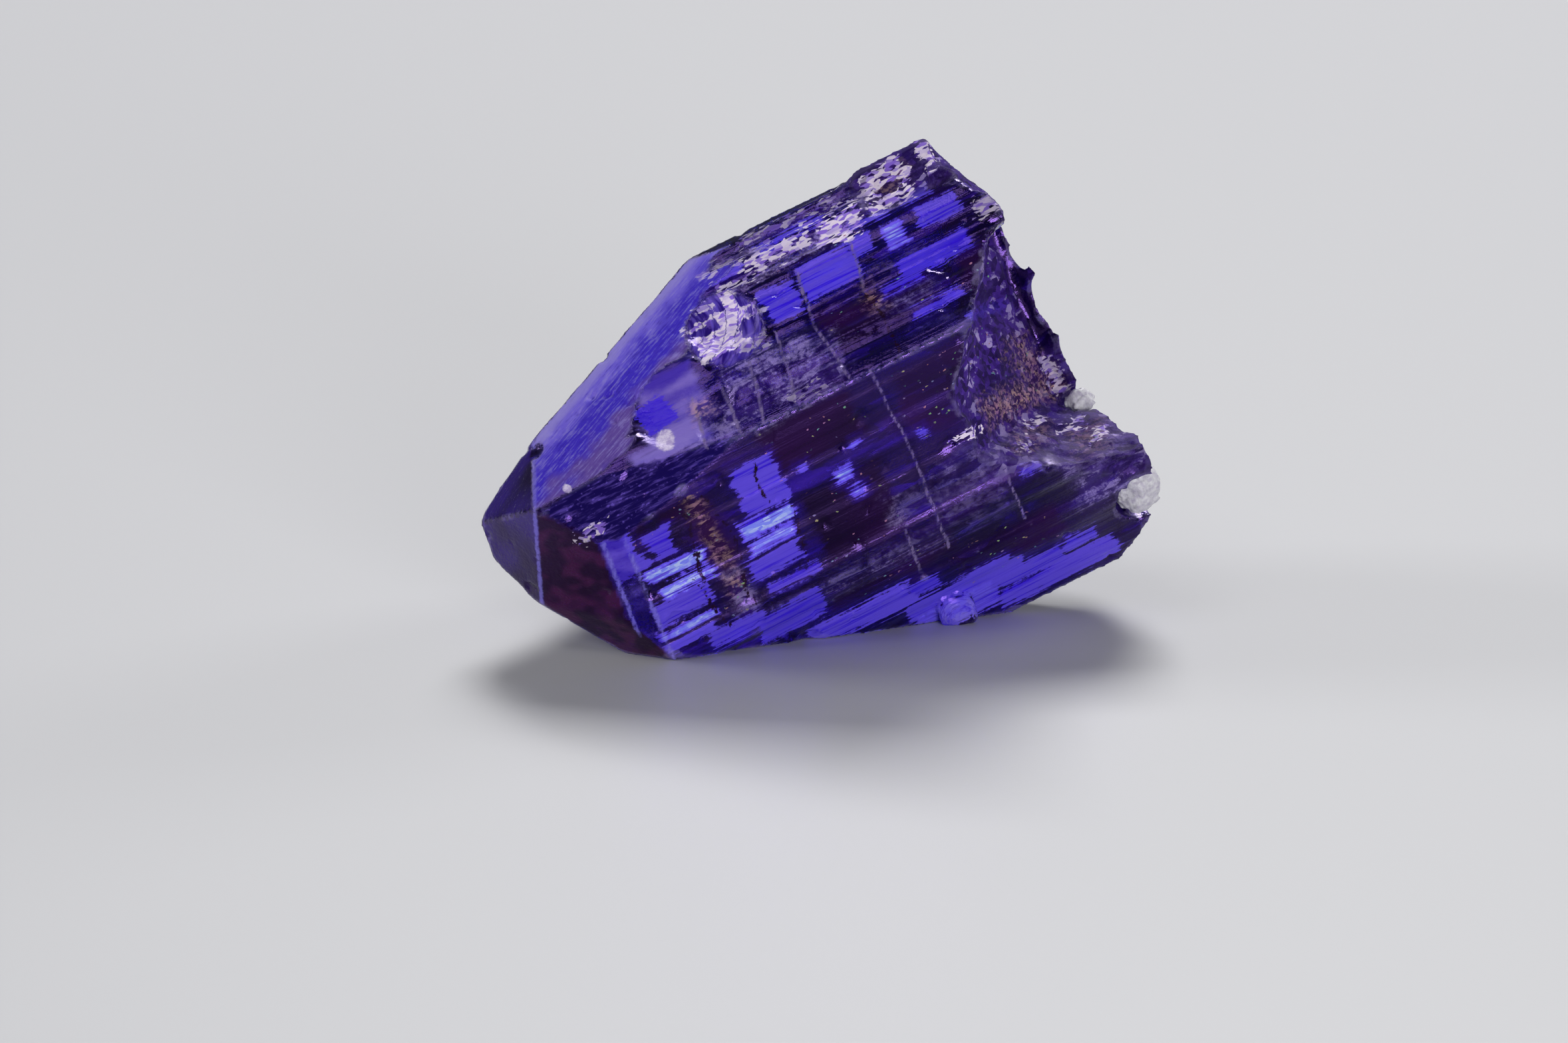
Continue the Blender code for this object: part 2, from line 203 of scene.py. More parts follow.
# White patches of splinters
WHITES = (
    (-4.15, 5.35, 0.32, 0.75, 1.0),
    (-4.75, 4.75, 0.30, 0.60, 1.0),
    (-5.30, 4.20, 1.00, 0.58, 1.0),
    (-5.80, 5.25, 0.60, 0.10, 0.9),
    (-5.35, 5.80, 0.42, 0.09, 0.8),
    (-3.35, 5.05, 0.50, 0.06, 0.8),
    (-3.25, 4.65, 0.45, 0.05, 0.7),
    (-4.2, 3.5, 0.7, 0.14, 0.6),
    (-1.2, 6.7, 1.5, 0.34, 0.9),
    (1.6, 6.45, 1.0, 0.50, 1.0),
    (-3.6, 6.3, 0.9, 0.12, 0.8),
    (-3.0, 0.5, 0.7, 0.20, 0.5),
    (2.45, -4.42, 0.55, 0.17, 1.0),
    (4.3, 6.65, 1.0, 0.40, 1.0),
    (4.5, 7.6, 0.9, 0.35, 0.9),
    (6.6, 7.6, 0.35, 0.5, 0.9),
    (-3.0, 7.15, 1.6, 0.10, 0.7),
    (7.4, -3.6, 0.25, 0.8, 0.7),
    (8.0, 4.3, 0.5, 0.45, 0.7),
    (-14.0, -0.85, 0.75, 0.16, 0.7),
    (-0.4, 7.65, 2.4, 0.12, 0.6),
    (-3.9, 7.2, 1.0, 0.10, 0.5),
    (2.6, 7.3, 0.9, 0.16, 0.7),
    (5.7, -5.3, 0.45, 0.09, 0.9),
    (7.0, -6.0, 0.50, 0.10, 0.9),
    (7.9, -6.9, 0.35, 0.12, 0.9),
    (4.6, -5.9, 0.50, 0.07, 0.7),
)
# Golden-brown stains
BROWNS = (
    (-7.3, 1.7, 0.55, 0.4, 1.0),
    (-9.5, -3.6, 0.35, 2.4, 0.7),
    (5.6, -3.9, 2.0, 0.7, 1.0),
    (6.6, -2.6, 0.6, 1.2, 0.8),
    (4.6, 7.3, 0.9, 0.5, 0.5),
    (1.6, 3.2, 0.5, 0.9, 0.6),
    (5.2, -5.6, 1.1, 0.6, 0.55),
    (7.4, -6.9, 0.9, 0.7, 0.55),
)
# The kinds of zone, and how rare each one's scattered patches are out of the photo's sight
ZONES = (
    ("window", WINDOWS, 0.8),
    ("dark", DARKS, 0.6),
    ("veil", VEILS, 1.35),
    ("white", WHITES, 1.9),
    ("brown", BROWNS, 1.4),
)
# Noise of those patches, their range and strength
PATCH_STRETCH = (0.13, 1.0, 1.0)
PATCH_SEEDS = (70.0, 79.0, 88.0, 97.0, 106.0)
PATCH_RANGE = 2.6
PATCH_STRENGTH = 0.5

# Degrees between the bevel's scratches and the crystal's length, as seen from the front
BEVEL_STREAKS = 23.5
# The bevel's inner and outer edge, across those scratches
BEVEL_REACH = (6.7, 9.4)
# How tight the scratches are along and across themselves
BEVEL_TIGHTNESS = (1.1, 11.0)

# Places along the crystal of the cross fractures round its back
BACK_CRACKS = (-9.0, -4.6, 0.2, 3.4)
# A distance from lines, and a depth in a hollow, that aren't painted
FAR = 5.0
OUTSIDE = -9.0

# Pale cross fractures and thin dark veins: (seen_along, seen_up) at the top and at the foot
CRACKS = (
    ((-7.5, 2.3), (-7.9, 0.2)),
    ((-6.1, 2.4), (-6.3, 0.2)),
    ((-4.5, 2.9), (-5.2, 0.1)),
    ((-2.9, 3.5), (-3.5, 0.2)),
    ((-0.9, 5.5), (-1.3, 3.1)),
    ((-1.3, 3.1), (-0.9, 0.2)),
    ((1.8, 5.6), (1.4, 3.2)),
    ((0.0, 0.1), (0.1, -4.0)),
    ((0.1, -4.0), (-0.3, -8.5)),
    ((3.6, -4.4), (3.3, -8.8)),
    ((-1.7, -6.9), (-1.9, -9.0)),
)
VEINS = (
    ((-6.35, -1.2), (-6.6, -3.1)),
    ((-5.75, -3.6), (-6.1, -6.4)),
    ((-9.0, -1.6), (-8.7, -3.2)),
    ((-8.7, -3.2), (-9.1, -6.9)),
    ((-10.2, -1.9), (-10.6, -5.2)),
    ((-11.0, -4.6), (-10.4, -7.4)),
    ((1.5, 3.2), (1.6, -0.2)),
)

# Painted highlights along edges of the left end, each between two crystal places
GLINTS = (
    ((-15.85, 0.55, -2.0), (-17.3, -4.2, -3.8)),
    ((-13.8, -1.8, -0.66), (-14.25, -8.3, -1.78)),
    ((-12.9, -1.95, -0.33), (-13.2, -8.5, -1.45)),
    ((-15.85, 0.55, -2.0), (-14.3, 2.17, -6.3)),
)

# Where the breaks begin and are whole. The end, by its turn to the crystal's length, and along it
END_SLOPE = (0.45, 0.75)
END_ALONG = (0.0, 2.0)
# The ledge on the right, as seen
LEDGE_ALONG = (2.2, 3.4)
LEDGE_TOP = (-2.0, -3.2)
LEDGE_FOOT = (-7.6, -6.2)
LEDGE_SHARE = 0.8
# The ledge's crest, along and by its level in the picture, seen_up + CREST_FALL * seen_along
CREST_FALL = 0.5
CREST_ALONG = (5.0, 6.0)
CREST_TOP = (-0.9, -1.6)
CREST_FOOT = (-5.1, -4.6)
# The shoulder at the top right, as seen
SHOULDER_ALONG = (2.6, 3.4)
SHOULDER_UP = (5.9, 6.6)

# The shell-shaped fracture, as seen: its middle, its two radii and where its edge fades, in radii
SHELL_MIDDLE = (-4.9, 4.6)
SHELL_RADII = (1.8, 1.7)
SHELL_EDGE = (0.85, 1.1)
# Its ripples: the place they spread from, spacing, height, and how far they wander, in radians
RIPPLE_MIDDLE = (-6.9, 5.4)
RIPPLE_SPACING = 0.75
RIPPLE_HEIGHT = 0.06
RIPPLE_WANDER = 2.0

# Fine relief: growth lines, weaker on the left end, pits and sunken fractures
GROWTH_HEIGHT = 0.05
FINE_GROWTH_HEIGHT = 0.03
LEFT_END_POLISH = 0.7
PIT_DEPTH = 0.10
PIT_NOISE = (0.45, 0.65)
CRACK_DEPTH = 0.04
CRACK_EDGE = (0.05, 0.22)
# Chips on the breaks: height, size and seed; what scatters their tilts; their sinking, highest rise,
# and fading at sharp edges
CHIPS = ((0.27, 2.3, 3.0), (0.13, 1.0, 8.0))
CHIP_SCATTER = 7.3
CHIP_SINK = 0.03
CHIP_RISE = 0.05
CHIP_FADE = (0.25, 0.8)
# How much of an edge's sharpness comes from its neighbours in each round, and the number of rounds
SHARPNESS_SPREAD = 0.6
SHARPNESS_ROUNDS = 5

# Noise in the crystal: how tight it is along, across and to the front, and its seed
FIELDS = {
    "growth": ((0.05, 1.1, 1.1), 0.0),
    "fine_growth": ((0.16, 2.9, 2.9), 9.0),
    "ripples": ((0.6, 0.6, 0.6), 4.0),
    "pits": ((1.3, 1.3, 1.3), 20.0),
    "wander_along": ((0.9, 1.3, 1.3), 31.0),
    "wander_up": ((0.5, 1.1, 1.1), 47.0),
    "sway": ((0.8, 0.8, 0.8), 60.0),
    "fading": ((0.3, 0.3, 0.3), 80.0),
    "bands": ((0.10, 1.3, 1.3), 11.0),
    "fine_bands": ((0.2, 2.6, 2.6), 12.0),
    "clouds": ((0.30, 0.45, 0.45), 5.0),
    "mottle": ((1.2, 1.2, 1.2), 15.0),
}
# How far zones' edges wander along and up, and fractures along; factors for blobs, the back and veins
WANDER = (0.30, 0.10)
SWAY = 0.10
BLOB_WANDER = 0.4
BACK_SWAY = 4.0
VEIN_SWAY = 3.0
# How tight streaks are in the crystal, and in the shell across and along its ripples
STREAK_TIGHTNESS = (0.22, 6.5, 6.5)
RIPPLE_TIGHTNESS = (4.0, 0.7)

# The knob on the bottom rim: its place along, half widths where it is whole and ends, and its top
KNOB_ALONG = -0.8
KNOB_WIDTH = (1.2, 1.5)
KNOB_TOP = -11.6
# The share of its height that stays, and how far towards the viewer a millimetre of height is
KNOB_SHARE = 0.25
KNOB_SLANT = 1.35
KNOB_ROUNDS = 8
# The face under it, where front = first + second * across
FOOT_FACE = (3.48, 0.575)

# Thin splinters on the broken end's outline, as seen, and the radii where their evening fades
SPLINTERS = (9.1, 1.1)
SPLINTER_REACH = (0.9, 1.8)
SPLINTER_ROUNDS = 70
# How far an evening round moves a place to its neighbours' mean
EVEN_SHARE = 0.6

# The hollow beside the bevel, as seen: its middle, its radius and how far it is filled
HOLLOW_MIDDLE = (-7.96, 2.6)
HOLLOW_RADIUS = 2.1
HOLLOW_FILL = 0.36

# Relief of the white lumps: the height, size and seed of their grains, and a finer roughness
LUMP_GRAINS = (0.10, 0.5, 1.0)
LUMP_ROUGHNESS = 0.05
LUMP_STRETCH = (4.0, 4.0, 4.0)

# Colours of the crystal. A pair is what its pattern runs between.
BODY_TONES = ((0.007, 0.001, 0.045), (0.055, 0.014, 0.52))
PURPLE_CLOUD = (0.045, 0.004, 0.11)
GROWTH_LINE = (0.16, 0.074, 0.62)
# Painted shade of the nearly black patches
DARK_TONES = ((0.004, 0.001, 0.012), (0.020, 0.002, 0.042))
VEIL_TONES = ((0.050, 0.018, 0.24), (0.47, 0.36, 0.84))
HOLLOW_TONES = ((0.050, 0.024, 0.44), (0.25, 0.18, 0.64))
# Painted light: the windows' dim halo, their glow and their highlight bars
WINDOW_HALO = (0.030, 0.006, 0.42)
WINDOW_TONES = ((0.050, 0.014, 1.0), (0.16, 0.10, 1.0))
WINDOW_BARS = ((0.22, 0.27, 1.0), (0.50, 0.62, 1.0))
CHAMFER_TONES = ((0.050, 0.018, 0.62), (0.20, 0.12, 0.92))
BEVEL_INNER = (0.15, 0.081, 0.42)
BEVEL_MIDDLE = (0.045, 0.020, 0.66)
# Partly frost, partly painted rim light at the bevel's outer rim
BEVEL_OUTER = (0.23, 0.17, 0.92)
BEVEL_SCRATCH = (0.44, 0.39, 0.90)
BEVEL_FURROW = (0.020, 0.007, 0.34)
# Painted highlight along the bevel's outer edge
BEVEL_EDGE = (0.46, 0.40, 0.88)
END_TONES = ((0.014, 0.002, 0.016), (0.06, 0.009, 0.05))
NOSE_TONES = ((0.010, 0.003, 0.035), (0.045, 0.020, 0.26))
SLIVER_TONES = ((0.008, 0.004, 0.085), (0.20, 0.12, 0.72))
CRACK_TONE = (0.24, 0.18, 0.38)
VEIN_TONE = (0.010, 0.002, 0.010)
# Painted highlight along edges of the left end
GLINT_TONE = (0.28, 0.24, 0.92)
RUBBLE_TONES = ((0.010, 0.002, 0.065), (0.070, 0.022, 0.32))
# Pale shards, partly painted glints on the broken surface
PALE_SHARD_GLINT = (0.48, 0.38, 0.76)
BROWN_STAIN = (0.035, 0.007, 0.030)
# Golden crumbs: partly stain, partly painted golden glints
GOLDEN_TONES = ((0.80, 0.50, 0.32), (0.55, 0.25, 0.44))
SHELL_TONES = ((0.040, 0.014, 0.32), (0.22, 0.14, 0.82))
WHITE_TONES = ((0.30, 0.17, 0.78), (0.98, 0.86, 1.0))
BLOB_TONES = ((0.45, 0.36, 0.66), (0.78, 0.70, 0.90))
# Painted highlight along sharp convex edges
EDGE_HIGHLIGHT = (0.50, 0.42, 0.82)
# Saturation and brightness of the rainbow specks
SPARK_SATURATION = 0.55
SPARK_BRIGHTNESS = 0.34

# Optics of the zoisite, whose absorption is for each metre
CRYSTAL_IOR = 1.69
CRYSTAL_SPECULAR = 0.28
CRYSTAL_TINT = (0.46, 0.24, 1.0, 1.0)
ABSORPTION_COLOR = (0.42, 0.18, 0.92, 1.0)
ABSORPTION_DENSITY = 190.0
CRYSTAL_BUMP = 0.06 * MM

# The white matrix: its colours, its pattern's fineness for each metre, and its optics
MATRIX_TONES = ((0.55, 0.52, 0.62), (0.90, 0.89, 0.93))
MATRIX_STAIN = (0.45, 0.38, 0.58)
MATRIX_FINENESS = 2600.0
MATRIX_TRANSMISSION = 0.25
MATRIX_IOR = 1.55
MATRIX_BUMP = 0.1 * MM

# The floor, in metres
FLOOR_HALF = 2.0
FLOOR_TONES = ((0.49, 0.49, 0.51), (0.51, 0.51, 0.53))
FLOOR_ROUGHNESS = 0.45

# The camera: the sensor's width in millimetres, all else in metres
CAMERA_DISTANCE = 0.6
SENSOR_WIDTH = 36.0
PICTURE_WIDTH = 69.94 * MM
AIM = Vector((-1.662, 0.0, 3.943)) * MM
CLIP = (0.01, 10.0)

# The surroundings, and the softboxes: place and side in metres, power in watts
WORLD_COLOR = (0.9, 0.92, 1.0, 1.0)
WORLD_STRENGTH = 0.10
LIT_PLACE = Vector((0.0, 0.0, 0.01))
SOFTBOXES = (
    ("back_high", (0.05, 0.55, 0.55), 0.32, 4.6),
    ("left", (-0.75, 0.10, 0.30), 0.26, 2.4),
    ("back_right", (0.60, 0.40, 0.25), 0.26, 1.6),
    ("above_left", (-0.35, -0.25, 0.75), 0.34, 0.9),
    ("front_low", (0.30, -0.85, 0.12), 0.40, 6.4),
)


def crystal_places(points):
    """Frame millimetres to (along, across, front)."""
    return (points - RIDGE_MIDDLE) @ np.array((ALONG, ACROSS, FRONT)).T


def seen_places(points):
    """Frame millimetres to (seen_along, seen_up)."""
    return (points - RIDGE_MIDDLE) @ np.array((SEEN_ALONG, SEEN_UP)).T


def frame_place(place):
    """One crystal place to frame millimetres."""
    return RIDGE_MIDDLE + ALONG * place[0] + ACROSS * place[1] + FRONT * place[2]


def smooth(values, low, high):
    """0 at low, 1 at high, eased between."""
    part = np.clip((values - low) / (high - low), 0.0, 1.0)
    return part * part * (3.0 - 2.0 * part)


def noise_field(points, stretch, seed=0.0):
    """Perlin noise in about -1..1 at each point scaled by stretch."""
    scaled = points * np.array(stretch) + seed
    return np.array([noise.noise(Vector(point)) for point in scaled])


def broken_facets(points, size, seed):
    """Height of a broken surface made of small tilted chips, in about -0.5..0.5 of their size."""
    heights = np.empty(len(points))
    for index, point in enumerate(points / size + seed):
        _, corners = noise.voronoi(Vector(point))
        tilt = noise.cell_vector(corners[0] * CHIP_SCATTER)
        heights[index] = (Vector(point) - corners[0]).dot(tilt)
    return heights


def zone_depth(seen, zones):
    """How deep each seen place lies in the nearest zone, negative outside, and that zone's strength."""
    depth = np.full(len(seen), -np.inf)
    strength = np.zeros(len(seen))
    for middle_along, middle_up, half_along, half_up, zone_strength in zones:
        gap = np.abs(seen - (middle_along, middle_up)) - (half_along, half_up)
        outside = np.linalg.norm(np.maximum(gap, 0.0), axis=1)
        inside = np.minimum(gap.max(axis=1), 0.0)
        closer = -(outside + inside) > depth
        depth = np.where(closer, -(outside + inside), depth)
        strength = np.where(closer, zone_strength, strength)
    return depth, strength


def line_distance(places, lines):
    """Distance of each place from the nearest of the lines."""
    nearest = np.full(len(places), np.inf)
    for start, end in lines:
        start, way = np.array(start), np.array(end) - np.array(start)
        share = np.clip((places - start) @ way / (way @ way), 0.0, 1.0)
        nearest = np.minimum(nearest, np.linalg.norm(places - start - share[:, None] * way, axis=1))
    return nearest


def facet_plane(name):
    """A point on the named facet and its outward direction, in frame millimetres."""
    first, second, third = (frame_place(place) for place in FACETS[name])
    outward = np.cross(second - first, third - first)
    outward /= np.linalg.norm(outward)
    if outward @ (frame_place(INSIDE) - first) > 0.0:
        outward = -outward
    return first, outward


def on_facet(points, normals, name):
    """1 on the named facet, falling to 0 just off it."""
    first, outward = facet_plane(name)
    near = 1.0 - smooth(np.abs((points - first) @ outward), FACET_REACH * 0.5, FACET_REACH * 1.5)
    return near * smooth(normals @ outward, *FACET_TURN)


def mesh_arrays(mesh):
    """Vertex places and normals of a mesh as arrays, places in millimetres."""
    count = len(mesh.vertices)
    places = np.empty(count * 3)
    mesh.vertices.foreach_get("co", places)
    normals = np.empty(count * 3)
    mesh.vertex_normals.foreach_get("vector", normals)
    return places.reshape(-1, 3) / MM, normals.reshape(-1, 3)


def edge_ends(mesh):
    """The vertices at the first and at the second end of each edge."""
    ends = np.empty(len(mesh.edges) * 2, dtype=np.int32)
    mesh.edges.foreach_get("vertices", ends)
    return ends.reshape(-1, 2).T


def edge_sum(first, second, at_first, at_second, count):
    """The sum of what its edges bring to each vertex, or their number where that is None."""
    return np.bincount(first, at_first, count) + np.bincount(second, at_second, count)


def fine_copy(node, name, voxel):
    """A new object with an even fine mesh over a CAD node."""
    piece = bpy.data.objects.new(name, node.data.copy())
    bpy.context.scene.collection.objects.link(piece)
    remesh = piece.modifiers.new("even", "REMESH")
    remesh.mode = "VOXEL"
    remesh.voxel_size = voxel * MM
    graph = bpy.context.evaluated_depsgraph_get()
    mesh = bpy.data.meshes.new_from_object(piece.evaluated_get(graph))
    piece.modifiers.clear()
    piece.data = mesh
    drop_crumbs(mesh)
    mesh.name = name
    mesh.materials.clear()
    mesh.shade_smooth()
    return piece


def drop_crumbs(mesh):
    """Keep only the largest connected part of a mesh."""
    first, second = edge_ends(mesh)
    part = np.arange(len(mesh.vertices))
    settled = False
    while not settled:
        lower = part.copy()
        joined = np.minimum(part[first], part[second])
        np.minimum.at(lower, first, joined)
        np.minimum.at(lower, second, joined)
        lower = lower[lower]
        settled = bool((lower == part).all())
        part = lower
    body = np.bincount(part).argmax()
    crumbs = np.flatnonzero(part != body)
    work = bmesh.new()
    work.from_mesh(mesh)
    work.verts.ensure_lookup_table()
    bmesh.ops.delete(work, geom=[work.verts[index] for index in crumbs], context="VERTS")
    work.to_mesh(mesh)
    work.free()


def move_vertices(mesh, places, node_name):
    """Put the vertices at these places, but none outside the CAD node's box."""
    low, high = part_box(node_name)
    low, high = np.array(low) / MM, np.array(high) / MM
    mesh.vertices.foreach_set("co", (np.clip(places, low, high) * MM).ravel())
    mesh.update()


def store(mesh, name, values):
    """Keep one number or one vector per vertex for the material."""
    values = np.asarray(values, dtype=np.float32)
    kind = "FLOAT" if values.ndim == 1 else "FLOAT_VECTOR"
    attribute = mesh.attributes.new(name, kind, "POINT")
    attribute.data.foreach_set("value" if values.ndim == 1 else "vector", values.ravel())


def sharpness_of_edges(mesh, places, normals):
    """Sharpness of the edges near each vertex, above 0 on convex ones."""
    first, second = edge_ends(mesh)
    count = len(places)
    edges = np.maximum(edge_sum(first, second, None, None, count), 1)
    way = places[second] - places[first]
    turn = normals[second] - normals[first]
    bend = np.einsum("ij,ij->i", turn, way) / np.einsum("ij,ij->i", way, way)
    edge_sharpness = edge_sum(first, second, bend, bend, count) / edges
    for _ in range(SHARPNESS_ROUNDS):
        nearby = edge_sum(first, second, edge_sharpness[second], edge_sharpness[first], count)
        edge_sharpness = (1.0 - SHARPNESS_SPREAD) * edge_sharpness + SHARPNESS_SPREAD * nearby / edges
    return edge_sharpness


def evened(mesh, places, weight, rounds):
    """The places, moved towards their neighbours' mean as far as the weight says."""
    first, second = edge_ends(mesh)
    close = (weight[first] > 0.0) | (weight[second] > 0.0)
    first, second = first[close], second[close]
    chosen = np.flatnonzero(weight > 0.0)
    count = len(places)
    edges = edge_sum(first, second, None, None, count)[chosen]
    places = places.copy()
    for _ in range(rounds):
        mean = np.empty((len(chosen), 3))
        for axis in range(3):
            column = places[:, axis]
            total = edge_sum(first, second, column[second], column[first], count)
            mean[:, axis] = total[chosen] / edges
        places[chosen] += EVEN_SHARE * weight[chosen][:, None] * (mean - places[chosen])
    return places


class Surface:
    """The crystal's vertices: their places, directions and kinds of surface."""

    def __init__(self, mesh):
        self.places, self.normals = mesh_arrays(mesh)
        self.crystal = crystal_places(self.places)
        self.seen = seen_places(self.places)
        self.facing = smooth(self.normals @ TO_VIEWER, *FACING)
        self.in_front = self.facing > IN_FRONT
        self.facets = {name: on_facet(self.places, self.normals, name) for name in FACETS}
        self.edge_sharpness = sharpness_of_edges(mesh, self.places, self.normals)
        self.ripple_from = np.linalg.norm(self.seen - RIPPLE_MIDDLE, axis=1)
        self.shell = self.shell_share()
        self.broken = self.broken_share()

    def noise(self, name):
        """The named noise at each vertex."""
        return noise_field(self.crystal, *FIELDS[name])

    def shell_share(self):
        """1 in the shell-shaped fracture, 0 outside it."""
        radii = np.linalg.norm((self.seen - SHELL_MIDDLE) / SHELL_RADII, axis=1)
        return (1.0 - smooth(radii, *SHELL_EDGE)) * (self.facing * (1.0 - self.facets["bevel"]))

    def broken_share(self):
        """1 on the broken end, its ledge and the broken shoulder, 0 on the growth faces."""
        end = smooth(np.abs(self.normals @ ALONG), *END_SLOPE) * smooth(self.crystal[:, 0], *END_ALONG)
        along, up = self.seen.T
        ledge = smooth(along, *LEDGE_ALONG) * smooth(up, *LEDGE_TOP) * smooth(up, *LEDGE_FOOT)
        level = up + CREST_FALL * along
        crest = smooth(along, *CREST_ALONG) * smooth(level, *CREST_TOP) * smooth(level, *CREST_FOOT)
        ledge = np.maximum(ledge, crest) * self.facing * LEDGE_SHARE
        shoulder = smooth(along, *SHOULDER_ALONG) * smooth(up, *SHOULDER_UP)
        return np.clip(np.maximum(end, np.maximum(ledge, shoulder)), 0.0, 1.0)


def relief(surface):
    """How far each vertex stands out: growth lines, ripples, chips, pits, the filled hollow, fractures."""
    seen, facing = surface.seen, surface.facing
    plain = (1.0 - surface.broken) * (1.0 - surface.shell)
    left_end = np.clip(sum(surface.facets.values()), 0.0, 1.0)
    growth = GROWTH_HEIGHT * surface.noise("growth")
    growth += FINE_GROWTH_HEIGHT * surface.noise("fine_growth")
    wander = RIPPLE_WANDER * surface.noise("ripples")
    ripples = RIPPLE_HEIGHT * np.sin(surface.ripple_from * 2.0 * math.pi / RIPPLE_SPACING + wander)
    chips = sum(height * broken_facets(surface.places, size, seed) for height, size, seed in CHIPS)
    chips *= 1.0 - smooth(surface.edge_sharpness, *CHIP_FADE)
    pits = -PIT_DEPTH * smooth(surface.noise("pits"), *PIT_NOISE)

    height = plain * (1.0 - left_end * LEFT_END_POLISH) * growth + surface.shell * ripples
    height += surface.broken * np.minimum(chips - CHIP_SINK, CHIP_RISE)
    height += pits * plain
    scoop = np.linalg.norm(seen - HOLLOW_MIDDLE, axis=1) / HOLLOW_RADIUS
    height += HOLLOW_FILL * np.maximum(1.0 - scoop * scoop, 0.0) * facing
    crack = line_distance(seen, CRACKS)
    height -= CRACK_DEPTH * facing * plain * (1.0 - smooth(crack, *CRACK_EDGE))
    return height


def even_outline(mesh, surface, places):
    """The places, with the knob flattened against its face and the thin splinters evened out."""
    along, across, front = surface.crystal.T
    knob = (1.0 - smooth(np.abs(along - KNOB_ALONG), *KNOB_WIDTH)) * (across < KNOB_TOP)
    excess = np.maximum(front - FOOT_FACE[0] - FOOT_FACE[1] * across, 0.0)
    places = places - TO_VIEWER * ((1.0 - KNOB_SHARE) * KNOB_SLANT * excess * knob)[:, None]
    splinters = 1.0 - smooth(np.linalg.norm(surface.seen - SPLINTERS, axis=1), *SPLINTER_REACH)
    places = evened(mesh, places, splinters, SPLINTER_ROUNDS)
    return evened(mesh, places, knob * (excess > 0.0), KNOB_ROUNDS)


def finish_crystal(node):
    """The crystal's fine surface, with its relief, an evened outline and what its material reads."""
    piece = fine_copy(node, "crystal_surface", FINE_VOXEL)
    mesh = piece.data
    surface = Surface(mesh)
    moved = surface.places + surface.normals * relief(surface)[:, None]
    move_vertices(mesh, even_outline(mesh, surface, moved), node.name)
    mesh.set_sharp_from_angle(angle=SHARP_ANGLE)
    store_zones(mesh, surface)
    store_lines(mesh, surface)
    store_faces(mesh, surface.facets)
    store_patterns(mesh, surface)
    store(mesh, "edge_sharpness", surface.edge_sharpness)
    store(mesh, "ripple", surface.ripple_from)
    store(mesh, "broken", surface.broken)
    store(mesh, "shell", surface.shell)
    return piece


def store_zones(mesh, surface):
    """Store how deep vertices lie in the painted zones, or out of sight in scattered patches."""
    in_front = surface.in_front
    wander = np.column_stack((surface.noise("wander_along"), surface.noise("wander_up"))) * WANDER
    blob = np.full(len(wander), -1.0)
    for middle_along, middle_up, radius in BLOBS:
        gap = surface.seen + wander * BLOB_WANDER - (middle_along, middle_up)
        blob = np.maximum(blob, 1.0 - np.linalg.norm(gap, axis=1) / radius)
    store(mesh, "blob", np.where(in_front, blob, -1.0))
    hollow, _ = zone_depth(surface.seen + wander, HOLLOWS)
    store(mesh, "hollow", np.where(in_front, hollow, OUTSIDE))
    for (name, zones, scarcity), seed in zip(ZONES, PATCH_SEEDS):
        depth, strength = zone_depth(surface.seen + wander, zones)
        patchy = noise_field(surface.crystal, PATCH_STRETCH, seed)
        store(mesh, name, np.where(in_front, depth, PATCH_RANGE * patchy - scarcity))
        store(mesh, name + "_strength", np.where(in_front, strength, PATCH_STRENGTH))


def store_lines(mesh, surface):
    """Store how far vertices are from the fractures, veins and the edges with painted highlights."""
    seen, in_front = surface.seen, surface.in_front
    sway = SWAY * surface.noise("sway")
    bend = np.column_stack((sway, np.zeros(len(seen))))
    along = surface.crystal[:, 0] + BACK_SWAY * sway
    round_back = np.abs(along[:, None] - BACK_CRACKS).min(axis=1)
    round_back = np.where(surface.noise("fading") < 0.0, FAR, round_back)
    store(mesh, "crack", np.where(in_front, line_distance(seen + bend, CRACKS), round_back))
    store(mesh, "vein", np.where(in_front, line_distance(seen + bend * VEIN_SWAY, VEINS), FAR))
    store(mesh, "glint", line_distance(surface.crystal, GLINTS))


def store_faces(mesh, facets):
    """Store which vertices lie on the faces of the left end."""
    for name in ("bevel", "sliver", "chamfer"):
        store(mesh, name, facets[name])
    store(mesh, "brown_end", np.clip(facets["end_face"] + facets["end_foot"], 0.0, 1.0))
    store(mesh, "nose", np.clip(facets["nose_front"] + facets["nose_top"] + facets["nose_under"], 0.0, 1.0))


def store_patterns(mesh, surface):
    """Store the large patterns, and the places that the fine ones are drawn at."""
    seen_along, seen_up = surface.seen.T
    bands = surface.noise("bands") + 0.5 * surface.noise("fine_bands")
    store(mesh, "bands", bands * 0.5 + 0.5)
    store(mesh, "clouds", surface.noise("clouds") * 0.7 + 0.5)
    store(mesh, "mottle", surface.noise("mottle") * 0.7 + 0.5)
    turn = math.radians(BEVEL_STREAKS)
    along_streaks = seen_along * math.cos(turn) + seen_up * math.sin(turn)
    across_streaks = seen_up * math.cos(turn) - seen_along * math.sin(turn)
    store(mesh, "bevel_rim", smooth(across_streaks, *BEVEL_REACH))

    on_bevel = np.column_stack((
        along_streaks * BEVEL_TIGHTNESS[0],
        across_streaks * BEVEL_TIGHTNESS[1],
        np.full(len(bands), 3.0),
    ))
    on_shell = np.column_stack((
        surface.ripple_from * RIPPLE_TIGHTNESS[0],
        seen_up * RIPPLE_TIGHTNESS[1],
        seen_along * RIPPLE_TIGHTNESS[1],
    ))
    streak = surface.crystal * STREAK_TIGHTNESS
    streak = np.where((surface.facets["bevel"] > 0.5)[:, None], on_bevel, streak)
    streak = np.where((surface.shell > 0.5)[:, None], on_shell, streak)
    store(mesh, "streak", streak)
    store(mesh, "crystal", surface.crystal)


